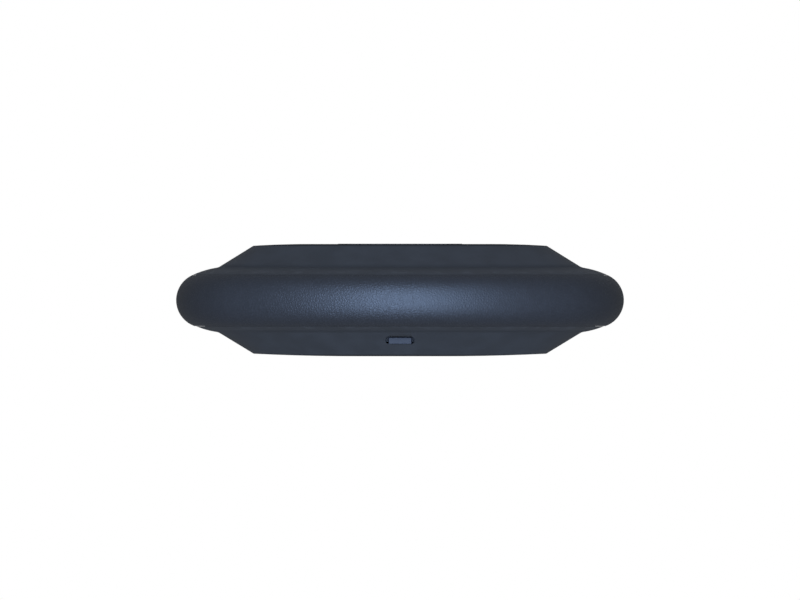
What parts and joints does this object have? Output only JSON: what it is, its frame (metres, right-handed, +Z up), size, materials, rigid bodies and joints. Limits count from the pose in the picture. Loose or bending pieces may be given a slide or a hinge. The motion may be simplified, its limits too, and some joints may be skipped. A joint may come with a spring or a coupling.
{
  "type": "wireless earbuds case",
  "caption": "Oval clamshell charging case for wireless earbuds with a rounded belt, sloping covers, a hinged lid, bud cradles and an indicator window.",
  "frame": {"origin": "centre of the footprint, on the surface the case stands on", "axes": "+X to the right along the case's width, +Y towards the hinge at the back, +Z up; the indicator window faces -Y"},
  "size_m": [0.0956, 0.064, 0.024],
  "materials": {
    "cover_shell": "fine spark-eroded matte, blue-grey",
    "belt_shell": "leather-grained satin, blue-grey",
    "badge": "plain polished strip",
    "inner_plastic": "satin moulded",
    "button_plastic": "satin moulded",
    "soft_rubber": "matt silicone",
    "foot_rubber": "matt silicone",
    "hinge_steel": "dark satin coating",
    "pin_steel": "ground",
    "spring_steel": "drawn wire",
    "screw_steel": "black oxide",
    "magnet_plate": "nickel plated",
    "contact_sleeve": "moulded",
    "contact_gold": "gold plated",
    "board_laminate": "solder mask",
    "chip_epoxy": "moulded epoxy",
    "socket_plastic": "natural nylon",
    "port_steel": "satin stainless",
    "lamp_lens": "phosphor filled",
    "guide_plastic": "frosted translucent",
    "cell_foil": "pouch foil",
    "foam_pad": "closed-cell foam",
    "lead_sleeve": "silicone sleeve",
    "flex_film": "polyimide film"
  },
  "bodies": {
    "base": {"mid_frame": "belt_shell", "bottom_cover": "cover_shell", "rim_gasket": "soft_rubber", "foot_pad": "foot_rubber", "base_hinge_leaf": "hinge_steel", "base_leaf_screws": "screw_steel", "hinge_pin": "pin_steel", "hinge_spring": "spring_steel", "cradle_deck": "inner_plastic", "bud_magnets": "magnet_plate", "base_magnet": "magnet_plate", "contact_housings": "contact_sleeve", "left_contact_springs": "spring_steel", "right_contact_springs": "spring_steel", "main_board": "board_laminate", "board_screws": "screw_steel", "controller_chip": "chip_epoxy", "charger_chip": "chip_epoxy", "power_inductor": "chip_epoxy", "passive_parts": "chip_epoxy", "battery_socket": "socket_plastic", "led_chip": "lamp_lens", "light_guide": "guide_plastic", "battery_cell": "cell_foil", "battery_pad": "foam_pad", "battery_leads": "lead_sleeve", "usb_board": "board_laminate", "usb_shell": "port_steel", "usb_tongue": "chip_epoxy", "usb_contacts": "contact_gold", "usb_flex": "flex_film", "front_board": "board_laminate", "front_flex": "flex_film", "tact_switch": "chip_epoxy", "hall_sensor": "chip_epoxy"},
    "lid": {"lid_cover": "cover_shell", "nameplate": "badge", "lid_liner": "inner_plastic", "lid_magnet": "magnet_plate", "lid_pads": "soft_rubber", "lid_hinge_leaf": "hinge_steel", "lid_leaf_screws": "screw_steel"},
    "pairing_button": {"pairing_button": "button_plastic"},
    "left_contacts": {"left_contact_pins": "contact_gold"},
    "right_contacts": {"right_contact_pins": "contact_gold"}
  },
  "joints": [
    {"name": "lid_hinge", "type": "hinge", "parent": "base", "child": "lid", "pos_m": [0, 0.0289, 0.0169], "axis": [-1, 0, 0], "range_deg": [0, 100], "deforming": ["hinge_spring"]},
    {"name": "pairing_press", "type": "slide", "parent": "base", "child": "pairing_button", "axis": [0, 0, -1], "range_m": [0, 0.0005], "stiffness_N_per_m": 600, "springref_m": -0.0004},
    {"name": "left_contact_press", "type": "slide", "parent": "base", "child": "left_contacts", "axis": [0, 0, -1], "range_m": [0, 0.0007], "stiffness_N_per_m": 300, "springref_m": -0.0006, "deforming": ["left_contact_springs"]},
    {"name": "right_contact_press", "type": "slide", "parent": "base", "child": "right_contacts", "axis": [0, 0, -1], "range_m": [0, 0.0007], "stiffness_N_per_m": 300, "springref_m": -0.0006, "deforming": ["right_contact_springs"]}
  ]
}
